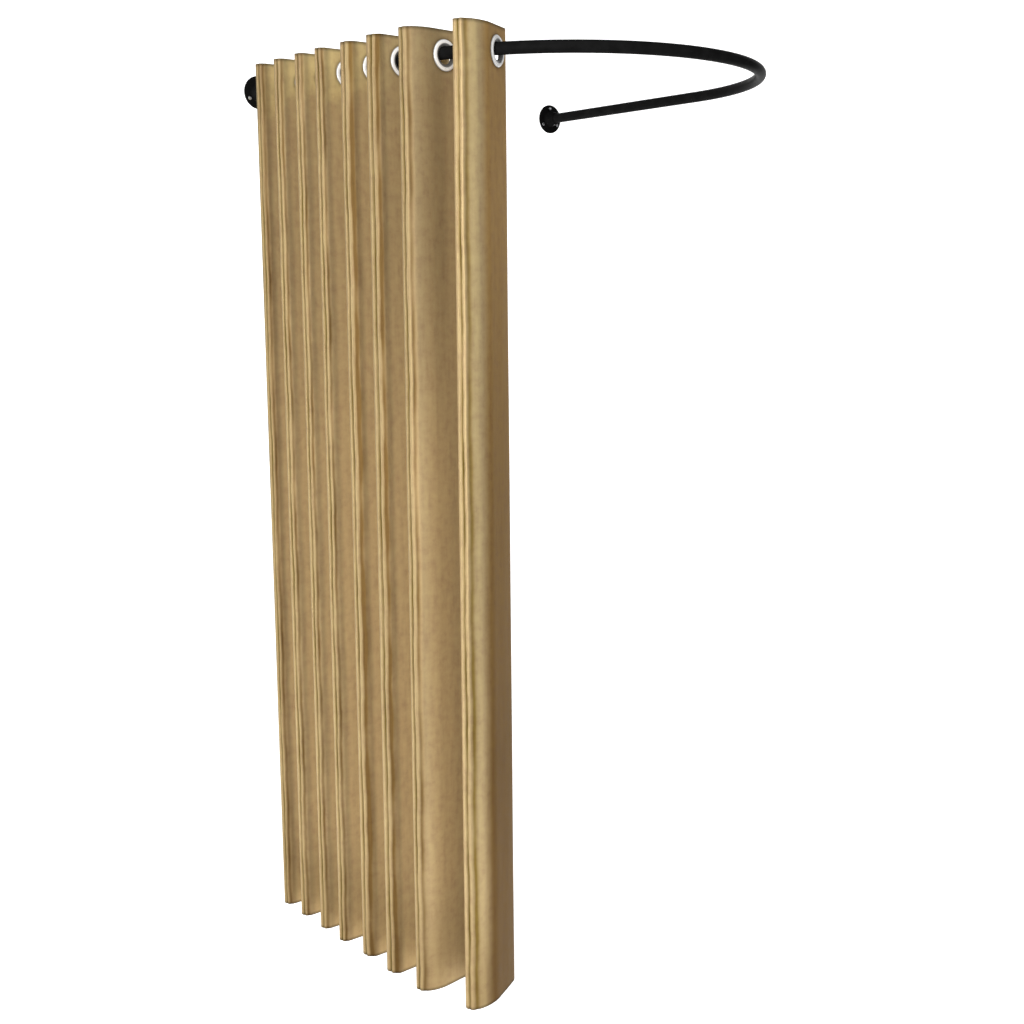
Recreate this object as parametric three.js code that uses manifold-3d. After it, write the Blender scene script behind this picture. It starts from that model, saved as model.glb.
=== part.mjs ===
import * as THREE from 'three';
import { mergeVertices } from 'three/addons/utils/BufferGeometryUtils.js';
import Module from 'manifold-3d';

// A wall-mounted fitting room: a U-shaped curtain rail in four tube sections, two wall
// flanges, and one eyelet curtain gathered on the left leg and the start of the bend.
// Millimetres, +Z up. The wall is the plane Y = 0, the room side is -Y, and the origin is
// the middle of the left flange's back face. Plan headings are measured from +X.

// Rail
const railWidth = 900;
const railDepth = 1000;
const tubeDiameter = 25;
const tubeWall = 1.2;
const sleeveWall = 1.2;
const clearance = 0.3;

// Wall flanges
const flangeDiameter = 75;
const flangeThickness = 4;
const flangeEdgeRound = 1.5;
const neckBaseDiameter = 45;
const neckTipWall = 1.7;
const neckLength = 26;
const neckTipRound = 1;

// Wall screws and tube locking screws
const screwsPerFlange = 3;
const screwShankDiameter = 4;
const screwHeadDiameter = 8.4;
const screwHeadDepth = 2.2;
const screwDomeHeight = 1;
const crossRecessWidth = 1;
const crossRecessLength = 4.4;
const crossRecessDepth = 1.6;
const grubDiameter = 4;
const grubLength = 4.5;
const grubSocketWidth = 2;
const grubSocketDepth = 2;
const grubFromNeckTip = 8;

// Eyelets
const eyeletDiameter = 61;
const eyeletBore = 35;
const eyeletBarrelWall = 1.8;
const eyeletFrontHeight = 3.2;
const eyeletBackHeight = 2.4;
const eyeletRimHeight = 1.4;
const eyeletLipHeight = 0.8;
const eyeletBarrelReach = 1.9;

// Curtain
const curtainDrop = 2000;
const curtainAboveRail = 44;
const clothThickness = 1.6;
const eyeletMargin = 2.5;
const crestAllowance = 89;
const gatherLength = 818;
const leadingCurlRadius = 18;
const leadingCurlTail = 10;
const wallCurlRadius = 25;
const wallCurlTail = 12;

// Where the screws sit between the neck's foot and the flange's edge, and where an eyelet's
// crown is between its bore and its edge
const screwPlaceShare = 0.367;
const eyeletCrownShare = 0.577;
// Where the near eyelet of each fold sits along the rail, counted from the curtain's
// leading edge to the wall, as shares of gatherLength
const nearEyeletShares = [1, 0.862, 0.723, 0.604, 0.479, 0.377, 0.268, 0.167];
// How far the far eyelet of each fold is behind the near one, as shares of gatherLength
const foldWidthShares = [0.059, 0.05, 0.048, 0.053, 0.037, 0.037, 0.037, 0.037];
// How much of a crest between even flanks is round, the rest being flat
const crestRoundShare = 0.9;
// The crests of the four leading gaps: how far the crest's centre is from the middle of the
// gap across the rail and along it, as shares of eyeletSpacing, and its radius as a share of
// the gap
const crestReachShares = [0.508, 0.324, 0.377, 0.304];
const crestDriftShares = [0.112, -0.048, 0.149, -0.048];
const crestRadiusShares = [0.334, 0.383, 0.466, 0.41];
// How much of the rail's first turn, up to leanTurn, the cloth in the leading eyelets lags behind
const leanShares = [0.51, 0.25, 1.1, 0.78, 0.36];
const leanTurn = THREE.MathUtils.degToRad(13);
const leadingCurlTurn = THREE.MathUtils.degToRad(80);
const wallCurlTurn = THREE.MathUtils.degToRad(60);

// How finely round shapes are cut into facets
const tubeSides = 16;
const bendSteps = 16;
const eyeletSides = 16;
const flangeSides = 32;
const screwSides = 12;
const hexSides = 6;
const sleeveSteps = 2;
const quarterCrestSteps = 3;
const crestSteps = 6;
const bowSteps = 2;
const curlSteps = 3;
// A bow that would bend by less than this share of its crest is straight
const straightShare = 1e-6;

// Derived sizes
const bendRadius = railWidth / 2;
const legLength = railDepth - bendRadius;
const quarterLength = bendRadius * Math.PI / 2;
const sleeveHalf = quarterLength / bendSteps;
const tubeRadius = tubeDiameter / 2;
const tubeBore = tubeRadius - tubeWall;
const sleeveRadius = tubeBore - clearance;
const socketRadius = tubeRadius + clearance;
const neckTipRadius = socketRadius + neckTipWall;
const screwCircleRadius = (neckBaseDiameter + screwPlaceShare * (flangeDiameter - neckBaseDiameter)) / 2;
const grubFromWall = flangeThickness + neckLength - grubFromNeckTip;
const barrelRadius = eyeletBore / 2 + eyeletBarrelWall;
const crownRadius = (eyeletBore + eyeletCrownShare * (eyeletDiameter - eyeletBore)) / 2;
const eyeletHang = (eyeletBore - tubeDiameter) / 2 - clearance;
const eyeletSeat = clothThickness / 2 + clearance;
const endFlat = eyeletDiameter / 2 + eyeletMargin;
const eyeletSpacing = 2 * endFlat + crestAllowance;

const railMaterial = new THREE.MeshStandardMaterial({ color: 0x17171a, roughness: 0.4, metalness: 0.3 });
const flangeMaterial = new THREE.MeshStandardMaterial({ color: 0x121214, roughness: 0.28, metalness: 0.3 });
const zincMaterial = new THREE.MeshStandardMaterial({ color: 0xb9bcc0, roughness: 0.35, metalness: 1 });
const chromeMaterial = new THREE.MeshStandardMaterial({ color: 0xe3e4e6, roughness: 0.12, metalness: 1 });
const clothMaterial = new THREE.MeshStandardMaterial({ color: 0xb8975a, roughness: 0.45, metalness: 0.1 });

const wasm = await Module();
wasm.setup();

// Solids to and from the boolean library
function toSolid(geometry) {
  const bare = geometry.clone();
  bare.deleteAttribute('normal');
  bare.deleteAttribute('uv');
  const merged = mergeVertices(bare);
  return new wasm.Manifold(new wasm.Mesh({
    numProp: 3,
    vertProperties: new Float32Array(merged.attributes.position.array),
    triVerts: new Uint32Array(merged.index.array),
  }));
}

function toGeometry(solid) {
  const mesh = solid.getMesh();
  const geometry = new THREE.BufferGeometry();
  geometry.setAttribute('position', new THREE.BufferAttribute(new Float32Array(mesh.vertProperties), 3));
  geometry.setIndex(new THREE.BufferAttribute(new Uint32Array(mesh.triVerts), 1));
  geometry.computeVertexNormals();
  return geometry;
}

function cut(geometry, tools) {
  let solid = toSolid(geometry);
  for (const tool of tools) {
    solid = solid.subtract(toSolid(tool));
  }
  return toGeometry(solid);
}

// A round body about +Y from [radius, height] pairs that run from the axis, or from any
// point of a closed ring, with the material on the left
function turned(profile, sides) {
  const points = profile.map(([radius, height]) => new THREE.Vector2(radius, height));
  return new THREE.LatheGeometry(points, sides);
}

function named(name, geometry, material) {
  const mesh = new THREE.Mesh(geometry, material);
  mesh.name = name;
  return mesh;
}

// Rail
// The rail's centre line at a distance from the left flange's back face: its place in plan,
// how far it has turned, and its direction
function railAt(distance) {
  if (distance <= legLength) {
    return { x: 0, y: -distance, turn: 0 };
  }
  if (distance >= legLength + 2 * quarterLength) {
    return { x: railWidth, y: distance - 2 * legLength - 2 * quarterLength, turn: Math.PI };
  }
  const turn = (distance - legLength) / bendRadius;
  return {
    x: bendRadius - bendRadius * Math.cos(turn),
    y: -legLength - bendRadius * Math.sin(turn),
    turn,
  };
}

class RailStretch extends THREE.Curve {
  constructor(start, end) {
    super();
    this.start = start;
    this.end = end;
  }

  getPoint(t, target = new THREE.Vector3()) {
    const place = railAt(this.start + t * (this.end - this.start));
    return target.set(place.x, place.y, 0);
  }
}

function railTube(start, end, radius, bore, steps) {
  const section = new THREE.Shape();
  section.absarc(0, 0, radius, 0, 2 * Math.PI, false);
  const hole = new THREE.Path();
  hole.absarc(0, 0, bore, 0, 2 * Math.PI, true);
  section.holes.push(hole);
  return new THREE.ExtrudeGeometry(section, {
    steps,
    curveSegments: tubeSides / 2,
    bevelEnabled: false,
    extrudePath: new RailStretch(start, end),
  });
}

function buildRail() {
  const rail = new THREE.Group();
  const firstJoint = legLength;
  const middleJoint = legLength + quarterLength;
  const lastJoint = legLength + 2 * quarterLength;
  const railLength = lastJoint + legLength;
  const socketFloor = flangeThickness + clearance;
  const halfGap = clearance / 2;
  const tubes = [
    ['left_leg_tube', socketFloor, firstJoint - halfGap, 1],
    ['left_bend_tube', firstJoint + halfGap, middleJoint - halfGap, bendSteps],
    ['right_bend_tube', middleJoint + halfGap, lastJoint - halfGap, bendSteps],
    ['right_leg_tube', lastJoint + halfGap, railLength - socketFloor, 1],
  ];
  for (const [name, start, end, steps] of tubes) {
    rail.add(named(name, railTube(start, end, tubeRadius, tubeBore, steps), railMaterial));
  }
  const sleeves = [
    ['left_joining_sleeve', firstJoint],
    ['middle_joining_sleeve', middleJoint],
    ['right_joining_sleeve', lastJoint],
  ];
  for (const [name, joint] of sleeves) {
    const geometry = railTube(
      joint - sleeveHalf, joint + sleeveHalf, sleeveRadius, sleeveRadius - sleeveWall, sleeveSteps,
    );
    rail.add(named(name, geometry, zincMaterial));
  }
  return rail;
}

// Wall flanges
// Every round body here is turned about +Y, away from the wall, and the group that holds it
// is turned round to face the room
function flangeBody() {
  const radius = flangeDiameter / 2;
  const height = flangeThickness + neckLength;
  return turned([
    [0, 0],
    [radius, 0],
    [radius, flangeThickness - flangeEdgeRound],
    [radius - flangeEdgeRound, flangeThickness],
    [neckBaseDiameter / 2, flangeThickness],
    [neckTipRadius, height - neckTipRound],
    [neckTipRadius - neckTipRound, height],
    [socketRadius, height],
    [socketRadius, flangeThickness],
    [0, flangeThickness],
  ], flangeSides);
}

function screwHoleTool() {
  const overrun = screwHeadDepth;
  const shank = screwShankDiameter / 2 + clearance;
  const head = screwHeadDiameter / 2 + clearance;
  return turned([
    [0, -overrun],
    [shank, -overrun],
    [shank, flangeThickness - screwHeadDepth],
    [head, flangeThickness],
    [head, flangeThickness + overrun],
    [0, flangeThickness + overrun],
  ], screwSides);
}

function screwBody() {
  const shank = screwShankDiameter / 2;
  const head = screwHeadDiameter / 2;
  const top = flangeThickness + clearance;
  const body = turned([
    [0, clearance],
    [shank, clearance],
    [shank, top - screwHeadDepth],
    [head, top],
    [head / 2, top + screwDomeHeight],
    [0, top + screwDomeHeight],
  ], screwSides);
  const recessHeight = 2 * crossRecessDepth;
  const across = new THREE.BoxGeometry(crossRecessLength, recessHeight, crossRecessWidth);
  const along = new THREE.BoxGeometry(crossRecessWidth, recessHeight, crossRecessLength);
  across.translate(0, top + screwDomeHeight, 0);
  along.translate(0, top + screwDomeHeight, 0);
  return cut(body, [across, along]);
}

// The locking screw stands up through the neck's underside to the tube
function grubHoleTool() {
  const radius = grubDiameter / 2 + clearance;
  const length = neckBaseDiameter / 2;
  const tool = new THREE.CylinderGeometry(radius, radius, length, screwSides);
  tool.rotateX(Math.PI / 2);
  tool.translate(0, grubFromWall, -length / 2 - tubeRadius / 2);
  return tool;
}

function grubBody() {
  const radius = grubDiameter / 2;
  const body = new THREE.CylinderGeometry(radius, radius, grubLength, screwSides);
  const socketWidth = grubSocketWidth / 2;
  const socket = new THREE.CylinderGeometry(socketWidth, socketWidth, 2 * grubSocketDepth, hexSides);
  socket.translate(0, -grubLength / 2, 0);
  const geometry = cut(body, [socket]);
  geometry.rotateX(Math.PI / 2);
  geometry.translate(0, grubFromWall, -tubeRadius - clearance - grubLength / 2);
  return geometry;
}

function buildFlange(side, x) {
  const flange = new THREE.Group();
  flange.position.x = x;
  flange.rotation.z = Math.PI;
  const holes = [grubHoleTool()];
  for (let i = 0; i < screwsPerFlange; i += 1) {
    const angle = Math.PI / 2 + i * 2 * Math.PI / screwsPerFlange;
    const across = screwCircleRadius * Math.cos(angle);
    const up = screwCircleRadius * Math.sin(angle);
    const hole = screwHoleTool();
    hole.translate(across, 0, up);
    holes.push(hole);
    const screw = named(`${side}_flange_screw_${i + 1}`, screwBody(), zincMaterial);
    screw.position.set(across, 0, up);
    flange.add(screw);
  }
  flange.add(named(`${side}_wall_flange`, cut(flangeBody(), holes), flangeMaterial));
  flange.add(named(`${side}_tube_grub_screw`, grubBody(), zincMaterial));
  return flange;
}

// Curtain
// Each eyelet's place in plan and the heading of the cloth through it. The cloth is
// followed from its leading edge to the wall, so it goes out through the near eyelet of a
// fold, round the crest, and in again through the far one.
function eyeletPlaces() {
  const places = [];
  nearEyeletShares.forEach((share, fold) => {
    const near = share * gatherLength;
    const far = near - foldWidthShares[fold] * gatherLength;
    for (const [distance, outward] of [[near, true], [far, false]]) {
      const place = railAt(distance);
      const lean = (leanShares[places.length] ?? 0) * Math.min(place.turn, leanTurn);
      const heading = place.turn - lean + (outward ? Math.PI : 0);
      places.push({ x: place.x, y: place.y, heading, outward });
    }
  });
  return places;
}

// The unit vector towards the inside of a turn: side is 1 for a turn to the left
function inside(heading, side) {
  return new THREE.Vector2(-Math.sin(heading), Math.cos(heading)).multiplyScalar(side);
}

function ahead(place, distance) {
  return new THREE.Vector2(
    place.x + distance * Math.cos(place.heading),
    place.y + distance * Math.sin(place.heading),
  );
}

// The arc that leaves a point with a heading and runs smoothly into the crest's circle,
// given by where it meets the circle and with which heading. Its radius is null when it is straight.
function bow(from, heading, side, centre, radius) {
  const normal = inside(heading, side);
  const offset = from.clone().sub(centre);
  const lack = normal.dot(offset) + radius;
  if (Math.abs(lack) < radius * straightShare) {
    return { radius: null, meet: centre.clone().addScaledVector(normal, -radius), heading };
  }
  const bowRadius = (radius ** 2 - offset.lengthSq()) / (2 * lack);
  const bowCentre = from.clone().addScaledVector(normal, bowRadius);
  const share = bowRadius / (bowRadius - radius);
  const meet = bowCentre.clone().lerp(centre, share);
  const inward = centre.clone().sub(meet).multiplyScalar(side / radius);
  return { radius: bowRadius, centre: bowCentre, meet, heading: Math.atan2(-inward.x, inward.y) };
}

function wrap(angle) {
  return Math.atan2(Math.sin(angle), Math.cos(angle));
}

// Points along an arc about a centre, from one heading through a turn, without the first
function arcPoints(centre, radius, side, heading, turn, steps) {
  const points = [];
  for (let i = 1; i <= steps; i += 1) {
    const now = heading + turn * i / steps;
    const point = centre.clone().addScaledVector(inside(now, side), -radius);
    points.push({ x: point.x, y: point.y, heading: now });
  }
  return points;
}

// The cloth's middle line from one eyelet to the next, as points with headings, for even
// flanks: two arcs with a flat between them, which is longer where the eyelets are so far
// apart that little cloth is left for the crest
function evenGapPoints(side, from, to) {
  const width = Math.hypot(to.x - from.x, to.y - from.y);
  const radius = Math.min(crestRoundShare * width / 2, (crestAllowance - width) / (Math.PI - 2));
  const flank = (eyeletSpacing - width - (Math.PI - 2) * radius) / 2;
  const start = ahead(from, flank);
  const finish = ahead(to, -flank);
  const firstCentre = start.clone().addScaledVector(inside(from.heading, side), radius);
  const lastCentre = finish.clone().addScaledVector(inside(to.heading, side), radius);
  const crestHeading = lastCentre.clone().sub(firstCentre).angle();
  const firstTurn = wrap(crestHeading - from.heading);
  const lastTurn = wrap(to.heading - crestHeading);
  const top = lastCentre.clone().addScaledVector(inside(crestHeading, side), -radius);
  return [
    { x: start.x, y: start.y, heading: from.heading },
    ...arcPoints(firstCentre, radius, side, from.heading, firstTurn, quarterCrestSteps),
    { x: top.x, y: top.y, heading: crestHeading },
    ...arcPoints(lastCentre, radius, side, crestHeading, lastTurn, quarterCrestSteps),
  ];
}

// The crest's circle in one of the leading gaps
function crestBetween(gap, side, from, to) {
  const along = new THREE.Vector2(to.x - from.x, to.y - from.y);
  const radius = crestRadiusShares[gap] * along.length();
  along.normalize();
  const across = new THREE.Vector2(along.y, -along.x).multiplyScalar(side);
  const centre = new THREE.Vector2((from.x + to.x) / 2, (from.y + to.y) / 2);
  centre.addScaledVector(across, crestReachShares[gap] * eyeletSpacing);
  centre.addScaledVector(along, crestDriftShares[gap] * eyeletSpacing);
  return { centre, radius };
}

// The same middle line for a leading gap, where the flanks lean and the crest is its own circle
function leadingGapPoints(gap, side, from, to) {
  const { centre, radius } = crestBetween(gap, side, from, to);
  const points = [];
  const start = ahead(from, endFlat);
  const finish = ahead(to, -endFlat);
  const first = bow(start, from.heading, side, centre, radius);
  const last = bow(finish, to.heading + Math.PI, -side, centre, radius);
  const lastHeading = last.heading + Math.PI;
  if (first.radius !== null) {
    points.push({ x: start.x, y: start.y, heading: from.heading });
    points.push(...arcPoints(
      first.centre, first.radius, side, from.heading, wrap(first.heading - from.heading), bowSteps,
    ));
  } else {
    points.push({ x: first.meet.x, y: first.meet.y, heading: from.heading });
  }
  const turn = side * ((side * (lastHeading - first.heading) + 4 * Math.PI) % (2 * Math.PI));
  points.push(...arcPoints(centre, radius, side, first.heading, turn, crestSteps));
  if (last.radius !== null) {
    points.push(...arcPoints(
      last.centre, last.radius, side, lastHeading, wrap(to.heading - lastHeading), bowSteps,
    ));
  }
  return points;
}

// A free end past an eyelet: flat, then a curl and a short tail. reach is 1 for the end
// that the cloth runs into and -1 for the end that it starts from.
function endPoints(place, reach, side, radius, turn, tail) {
  const start = ahead(place, reach * endFlat);
  const centre = start.clone().addScaledVector(inside(place.heading, side), radius);
  const curl = arcPoints(centre, radius, side, place.heading, reach * side * turn, curlSteps);
  const tip = curl[curl.length - 1];
  const end = ahead(tip, reach * tail);
  const points = [
    { x: start.x, y: start.y, heading: place.heading },
    ...curl,
    { x: end.x, y: end.y, heading: tip.heading },
  ];
  return reach > 0 ? points : points.reverse();
}

function clothLine(places) {
  const first = places[0];
  const last = places[places.length - 1];
  const points = [...endPoints(first, -1, -1, leadingCurlRadius, leadingCurlTurn, leadingCurlTail)];
  for (let gap = 0; gap < places.length - 1; gap += 1) {
    const [from, to] = [places[gap], places[gap + 1]];
    const side = from.outward ? -1 : 1;
    points.push(...(gap < crestReachShares.length
      ? leadingGapPoints(gap, side, from, to)
      : evenGapPoints(side, from, to)));
  }
  points.push(...endPoints(last, 1, 1, wallCurlRadius, wallCurlTurn, wallCurlTail));
  return points;
}

function eyeletHole(place) {
  const radius = (barrelRadius + clearance) / Math.cos(Math.PI / eyeletSides);
  const tool = new THREE.CylinderGeometry(radius, radius, eyeletDiameter / 2, eyeletSides);
  tool.rotateZ(place.heading);
  tool.translate(place.x, place.y, -eyeletHang);
  return tool;
}

function curtainBody(places) {
  const line = clothLine(places);
  const offset = (point, amount) => {
    const normal = inside(point.heading, 1);
    return new THREE.Vector2(point.x + amount * normal.x, point.y + amount * normal.y);
  };
  const half = clothThickness / 2;
  const front = line.map((point) => offset(point, half));
  const back = line.map((point) => offset(point, -half));
  const outline = new THREE.Shape([...front, ...back.reverse()]);
  const sheet = new THREE.ExtrudeGeometry(outline, { depth: curtainDrop, bevelEnabled: false });
  sheet.translate(0, 0, curtainAboveRail - curtainDrop);
  return cut(sheet, places.map(eyeletHole));
}

// The front half has the barrel that goes through the cloth, and the back half closes on it
function eyeletFront() {
  const radius = eyeletDiameter / 2;
  const bore = eyeletBore / 2;
  return turned([
    [bore, -eyeletSeat - eyeletBarrelReach],
    [barrelRadius, -eyeletSeat - eyeletBarrelReach],
    [barrelRadius, eyeletSeat],
    [radius, eyeletSeat],
    [radius, eyeletSeat + eyeletRimHeight],
    [crownRadius, eyeletSeat + eyeletFrontHeight],
    [bore, eyeletSeat + eyeletLipHeight],
    [bore, -eyeletSeat - eyeletBarrelReach],
  ], eyeletSides);
}

function eyeletBack() {
  const radius = eyeletDiameter / 2;
  const inner = barrelRadius + clearance;
  return turned([
    [inner, -eyeletSeat],
    [inner, -eyeletSeat - eyeletBarrelReach],
    [crownRadius, -eyeletSeat - eyeletBackHeight],
    [radius, -eyeletSeat - eyeletRimHeight],
    [radius, -eyeletSeat],
    [inner, -eyeletSeat],
  ], eyeletSides);
}

function buildCurtain() {
  const curtain = new THREE.Group();
  const places = eyeletPlaces();
  curtain.add(named('curtain_cloth', curtainBody(places), clothMaterial));
  places.forEach((place, index) => {
    const eyelet = new THREE.Group();
    eyelet.position.set(place.x, place.y, -eyeletHang);
    eyelet.rotation.z = place.heading;
    const number = String(index + 1).padStart(2, '0');
    eyelet.add(named(`eyelet_${number}_front`, eyeletFront(), chromeMaterial));
    eyelet.add(named(`eyelet_${number}_back`, eyeletBack(), chromeMaterial));
    curtain.add(eyelet);
  });
  return curtain;
}

const fittingRoom = new THREE.Group();
fittingRoom.add(buildRail());
fittingRoom.add(buildFlange('left', 0));
fittingRoom.add(buildFlange('right', railWidth));
fittingRoom.add(buildCurtain());

export default fittingRoom;
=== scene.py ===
from math import atan2, ceil, cos, hypot, pi, radians, sin

import bmesh
import bpy
import numpy as np
from mathutils import Matrix, Vector


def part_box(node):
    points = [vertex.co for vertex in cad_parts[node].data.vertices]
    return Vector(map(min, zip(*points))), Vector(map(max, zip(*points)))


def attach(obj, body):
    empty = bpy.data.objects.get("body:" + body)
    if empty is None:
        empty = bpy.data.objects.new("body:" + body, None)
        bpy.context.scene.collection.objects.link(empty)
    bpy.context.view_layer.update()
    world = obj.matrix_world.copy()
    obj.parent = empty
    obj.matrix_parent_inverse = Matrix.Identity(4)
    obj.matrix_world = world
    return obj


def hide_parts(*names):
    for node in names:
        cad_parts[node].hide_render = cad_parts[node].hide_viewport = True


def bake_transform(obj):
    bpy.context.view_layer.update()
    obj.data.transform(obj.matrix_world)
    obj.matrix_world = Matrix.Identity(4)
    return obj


# A wall-mounted fitting room: a black U-shaped rail on two flanges, and a gold satin eyelet
# curtain gathered on its left leg. Metres, in the frame's own axes: +X along the wall, -Y into
# the room, +Z up.
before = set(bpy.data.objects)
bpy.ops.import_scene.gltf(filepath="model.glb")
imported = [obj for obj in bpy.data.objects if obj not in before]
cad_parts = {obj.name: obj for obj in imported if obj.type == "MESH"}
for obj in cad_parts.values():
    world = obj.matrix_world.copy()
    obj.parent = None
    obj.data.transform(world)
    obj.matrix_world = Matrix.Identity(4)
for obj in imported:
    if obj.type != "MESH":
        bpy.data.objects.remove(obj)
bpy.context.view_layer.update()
scene = bpy.context.scene

# Rail, from the frame
left_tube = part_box("left_leg_tube")
right_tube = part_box("right_leg_tube")
TUBE_RADIUS = (left_tube[1].x - left_tube[0].x) / 2
RAIL_WIDTH = right_tube[0].x - left_tube[0].x
RAIL_DEPTH = -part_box("left_bend_tube")[0].y - TUBE_RADIUS
BEND_RADIUS = RAIL_WIDTH / 2
LEG_LENGTH = RAIL_DEPTH - BEND_RADIUS
QUARTER = BEND_RADIUS * pi / 2
TUBE_WALL = 0.0012
SLEEVE_WALL = 0.0012
SLEEVE_HALF = 0.044
CLEARANCE = 0.0003
TUBE_EDGE = 0.0003
TUBE_STEP = 0.006

# Segments round each turned body, and the angles past which an edge is sharp
TUBE_SEGMENTS = 64
FLANGE_SEGMENTS = 160
SCREW_SEGMENTS = 48
GRUB_SEGMENTS = 32
RING_SEGMENTS = 96
HEX_SIDES = 6
DOME_STEPS = 8
RING_ROUND_STEPS = 5
SHARP = radians(35)
SHARP_CUT = radians(30)
LEAST_SIDE = 2.2  # a side is at least this many times a corner's reach on it

# Flanges and screws
FLANGE_RADIUS = 0.0375
FLANGE_THICKNESS = 0.004
NECK_BASE_RADIUS = 0.0225
NECK_TIP_RADIUS = 0.0145
NECK_LENGTH = 0.026
SCREW_CIRCLE_RADIUS = 0.028
SCREWS_PER_FLANGE = 3
SCREW_SHANK_RADIUS = 0.002
SCREW_HEAD_RADIUS = 0.0042
SCREW_HEAD_DEPTH = 0.0022
SCREW_DOME = 0.001
CROSS_LENGTH = 0.0044
CROSS_WIDTH = 0.001
CROSS_DEPTH = 0.0016
GRUB_RADIUS = 0.002
GRUB_LENGTH = 0.0045
GRUB_SOCKET_RADIUS = 0.001
GRUB_SOCKET_DEPTH = 0.002
GRUB_FROM_WALL = 0.022
GRUB_EDGE = 0.0003
FLANGE_EDGE = 0.0012

# Eyelets
EYELET_RADIUS = 0.0305
EYELET_BORE = 0.0175
BARREL_WALL = 0.0018
CROWN_RADIUS = 0.025
FRONT_HEIGHT = 0.0032
BACK_HEIGHT = 0.0024
RIM_HEIGHT = 0.0014
LIP_HEIGHT = 0.0008
BARREL_REACH = 0.0019
EYELET_HANG = EYELET_BORE - TUBE_RADIUS - CLEARANCE
SOLID_CLOTH = 0.0016
EYELET_SEAT = SOLID_CLOTH / 2 + CLEARANCE
EYELET_EDGE = 0.0012

# Curtain, as the frame's cloth is laid out
CLOTH_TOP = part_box("curtain_cloth")[1].z
CLOTH_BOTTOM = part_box("curtain_cloth")[0].z
CLOTH_THICKNESS = 0.0012
END_FLAT = EYELET_RADIUS + 0.0025
CREST_ALLOWANCE = 0.089
EYELET_SPACING = 2 * END_FLAT + CREST_ALLOWANCE
GATHER_LENGTH = 0.818
NEAR_EYELET_SHARES = (1, 0.862, 0.723, 0.604, 0.479, 0.377, 0.268, 0.167)
FOLD_WIDTH_SHARES = (0.059, 0.05, 0.048, 0.053, 0.037, 0.037, 0.037, 0.037)
CREST_ROUND_SHARE = 0.9
CREST_REACH_SHARES = (0.508, 0.324, 0.377, 0.304)
CREST_DRIFT_SHARES = (0.112, -0.048, 0.149, -0.048)
CREST_RADIUS_SHARES = (0.334, 0.383, 0.466, 0.41)
LEAN_SHARES = (0.51, 0.25, 1.1, 0.78, 0.36)
LEAN_TURN = radians(13)
LEADING_CURL = {"flat": END_FLAT + 0.006, "radius": 0.018, "turn": radians(80), "tail": 0.008}
WALL_CURL = {"flat": END_FLAT, "radius": 0.025, "turn": radians(60), "tail": 0.012}
ANCHOR_EYELET = 5
FLARE_SHARE = 0.085
CREST_SIDE = np.array((0.81, -0.59))  # an outer crest is the point farthest against this direction

# Ridges beside an outer crest, by the distance round it. Each list goes from the leading fold
# towards the wall, and its last value is for all the folds after it.
PATTERN_SIZES = (0.96, 0.84, 1.00, 1.00, 0.84)
GROOVE_AT = 0.0180
GROOVE_DEPTH = 0.0030
GROOVE_BREADTH = 0.0035
HOLLOW_PLACES = (0.0345, 0.0345, 0.0325, 0.0335, 0.0308)
HOLLOW_DEPTH = 0.0014
HOLLOW_BREADTH = 0.0060
RIDGE_ZONE = (-0.008, 0.056)

# How the ridges wander and vary down the cloth, and the soft waves of the whole cloth: each wave is
# (height, wave length, start)
RIDGE_DRIFT = ((0.0009, 0.41, 0.13), (0.0005, 0.127, 0.37), (0.00028, 0.047, 0.71))
RIDGE_VARIATION = ((0.14, 0.47, 0.29), (0.10, 0.139, 0.53))
CLOTH_WAVES = ((0.0002, 0.053, 0.2), (0.0003, 0.087, 0.4))
WAVE_DRIFT = 0.004
WAVE_DRIFT_LENGTH = 0.9
SWELL_MEAN = 0.7
SWELL_HEIGHT = 0.3
SWELL_LENGTH = 0.61
SWELL_LEAN = 9

# Painted shade and light beside an outer crest, multiplied into the satin's colour: the shares of
# red, green and blue that a painted shade takes away or a painted light adds, and the places round
# the crest where they start and end
GROOVE_SHADE = np.array((0.66, 0.68, 0.82))
GROOVE_SHADE_BREADTH = 0.0038
HOLLOW_SHADE = np.array((0.68, 0.75, 0.85))
HOLLOW_SHARES = (1, 0.78, 1.05, 1.15, 0.82)
HOLLOW_NEAR_BREADTH = 0.0046
HOLLOW_FAR_BREADTHS = (0.0056, 0.0080, 0.0100, 0.0105, 0.0052)
FLANK_LIGHT = np.array((0.36, 0.35, 0.32))
FLANK_SHARES = (1, 0.25, 1)
FLANK_START = (0.042, 0.058)
FLANK_END = (0.115, 0.150)
CREST_SHADE = np.array((0.12, 0.12, 0.13))
CREST_START = (-0.020, -0.010)
CREST_END = (0.028, 0.040)
TOP_SHADES = (0, 0.32, 0.20, 0.14)
TOP_NEAR_SHARE = 0.35
TOP_FLANK_SHARE = 0.65
TOP_FLANK_START = (0.026, 0.038)
TOP_FADE = (0.30, 0.95)

# Painted shade and light of the leading fold, some of which grow towards the hem
LEADING_FOLD = 0
LOW_FADE = (0.30, 1.42)
FIRST_HOLLOW_SHADE = np.array((0.38, 0.42, 0.60))
FIRST_HOLLOW_GAIN = 0.3
BAND_AT = 0.0500
BAND_BREADTH = 0.010
BAND_LIGHT = np.array((0.32, 0.37, 0.32))
BAND_LOSS = 0.55
TOP_LEAD_SHADE = np.array((0.07, 0.24, 0.48))
LOW_LEAD_SHADE = np.array((0.66, 0.76, 0.89))
LEAD_START = 0.060
LEAD_END = 0.090
LEAD_WIDENING = 0.006
LEAD_SHIFT = 0.008
LEAD_SHIFT_MIDDLE = 0.4
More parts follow.
